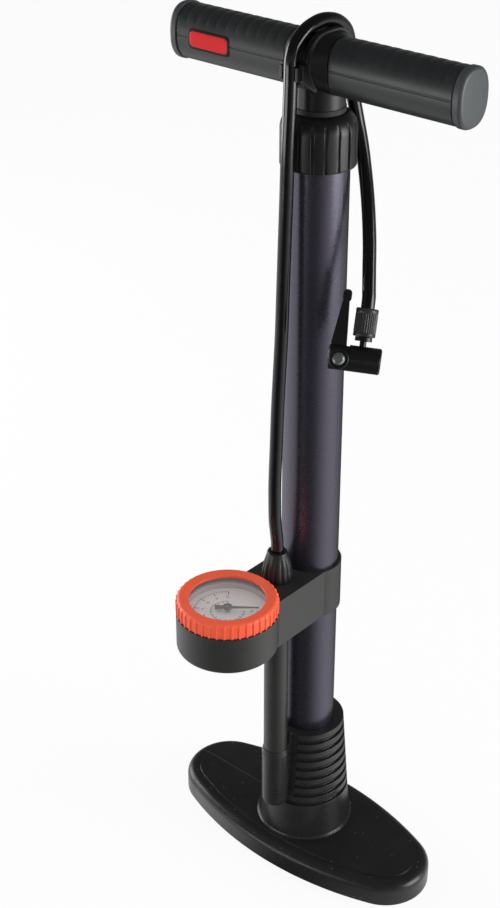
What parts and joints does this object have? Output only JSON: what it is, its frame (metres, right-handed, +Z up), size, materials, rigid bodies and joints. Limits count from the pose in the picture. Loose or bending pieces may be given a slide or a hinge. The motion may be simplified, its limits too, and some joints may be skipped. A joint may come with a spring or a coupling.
{
  "type": "floor bicycle pump",
  "caption": "Standing floor pump with an oval foot, a ribbed barrel base, a gauge on a bracket, a T handle that drives a piston, and a hose parked over the handle with a lever head.",
  "frame": {"origin": "on the floor, at the middle of the underside of the foot, on the axis of the barrel", "axes": "+Z up along the barrel, +X along the handle and the foot, -Y towards the gauge"},
  "size_m": [0.212, 0.1604, 0.5993],
  "materials": {
    "foot_plastic": "black moulded plastic with a fine grain",
    "base_plastic": "black moulded plastic",
    "barrel_paint": "satin anthracite paint",
    "bracket_plastic": "dark grey moulded plastic",
    "bezel_plastic": "orange-red plastic",
    "lens": "clear",
    "dial_plate": "printed silver-grey plate",
    "needle_paint": "black paint",
    "brass": "plain brass",
    "steel": "plated steel",
    "rod_chrome": "polished rod",
    "white_plastic": "natural nylon",
    "rubber": "black rubber",
    "cap_plastic": "charcoal plastic with a sheen",
    "grip_plastic": "charcoal satin plastic",
    "end_plastic": "charcoal satin plastic",
    "hub_plastic": "deep black plastic",
    "hose_rubber": "glossy black hose",
    "head_plastic": "black plastic",
    "nut_plastic": "knurled grey-black plastic"
  },
  "bodies": {
    "base": {"foot_plate": "foot_plastic", "foot_screws": "steel", "barrel_base": "base_plastic", "barrel": "barrel_paint", "barrel_gasket": "rubber", "check_spring": "steel", "air_tube": "bracket_plastic", "air_tube_seals": "rubber", "gauge_bracket": "bracket_plastic", "hose_gland": "base_plastic", "hose_nipple": "brass", "gauge_bezel": "bezel_plastic", "gauge_lens": "lens", "gauge_spacer": "bracket_plastic", "gauge_dial": "dial_plate", "bourdon_tube": "brass", "movement_plate": "brass", "movement_bridge": "brass", "top_cap": "cap_plastic", "rod_guide": "white_plastic", "rod_wiper": "rubber", "hose": "hose_rubber", "hose_nut": "nut_plastic", "hose_tail": "nut_plastic", "head_body": "head_plastic", "head_rivet": "steel", "head_rubber": "rubber"},
    "plunger": {"plunger_rod": "rod_chrome", "piston": "white_plastic", "piston_cup": "rubber", "piston_washer": "steel", "piston_nut": "steel", "handle_bumper": "rubber", "handle_hub": "hub_plastic", "handle_crossbar": "steel", "handle_grip_left": "grip_plastic", "handle_grip_right": "grip_plastic", "handle_end_left": "end_plastic", "handle_end_right": "end_plastic", "handle_pin": "steel"},
    "lever": {"head_lever": "head_plastic"},
    "pusher": {"head_pusher": "white_plastic"},
    "pointer": {"gauge_needle": "needle_paint", "pointer_arbor": "brass"},
    "sector": {"sector_gear": "brass"},
    "valve": {"check_valve": "rubber"}
  },
  "joints": [
    {"name": "plunger_slide", "type": "slide", "parent": "base", "child": "plunger", "axis": [0, 0, 1], "range_m": [0, 0.42], "deforming": ["hose"]},
    {"name": "lever_turn", "type": "hinge", "parent": "base", "child": "lever", "pos_m": [0.0404, -0.0272, 0.4081], "axis": [0.5534, -0.7083, 0.4384], "range_deg": [0, 90]},
    {"name": "pusher_slide", "type": "slide", "parent": "base", "child": "pusher", "axis": [0.8125, 0.5748, -0.0971], "range_m": [-0.0016, 0]},
    {"name": "needle_turn", "type": "hinge", "parent": "base", "child": "pointer", "pos_m": [0, -0.082, 0.24], "axis": [0, 0, -1], "range_deg": [0, 270], "stiffness_Nm_per_rad": 0.0004, "springref_deg": -11.46},
    {"name": "sector_turn", "type": "hinge", "parent": "base", "child": "sector", "pos_m": [-0.01316, -0.08679, 0.222], "axis": [0, 0, 1], "range_deg": [0, 45.5], "deforming": ["bourdon_tube"]},
    {"name": "valve_lift", "type": "slide", "parent": "base", "child": "valve", "axis": [0, 0, 1], "range_m": [0, 0.002], "stiffness_N_per_m": 150, "springref_m": -0.002, "deforming": ["check_spring"]}
  ],
  "couplings": [
    {"joint": "lever_turn", "follows": "pusher_slide", "rad_per_m": -981.75},
    {"joint": "sector_turn", "follows": "needle_turn", "ratio": 0.16667}
  ]
}
